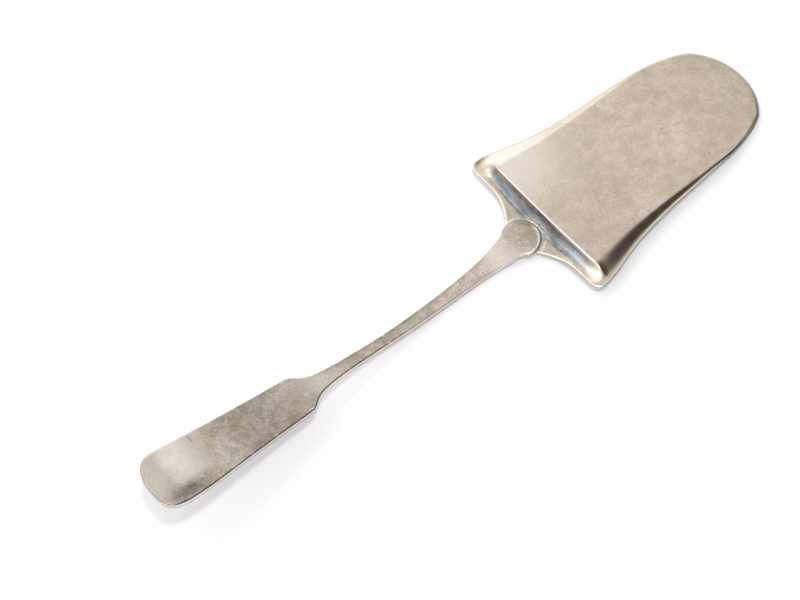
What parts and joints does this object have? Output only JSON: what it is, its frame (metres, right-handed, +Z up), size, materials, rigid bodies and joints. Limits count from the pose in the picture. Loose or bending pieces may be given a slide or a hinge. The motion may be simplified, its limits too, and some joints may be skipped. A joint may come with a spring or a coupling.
{
  "type": "serving spatula",
  "caption": "Serving spatula with a raised, flared flat blade on a slim arched stem with a wide rounded handle.",
  "frame": {"origin": "on the table, under the middle of the whole length, with the part lying face down as pictured", "axes": "+X from the handle's end to the blade's tip, +Z up, away from the table and out of the blade's underside"},
  "size_m": [0.2844, 0.0704, 0.0308],
  "materials": {
    "blade_silver": "satin silver sheet with fine scratches and a warm tarnish",
    "handle_silver": "forged silver, dull, dense with fine scratches",
    "solder": "bright silver solder"
  },
  "bodies": {
    "root": {"blade": "blade_silver", "handle": "handle_silver", "solder_seam": "solder"}
  },
  "joints": []
}
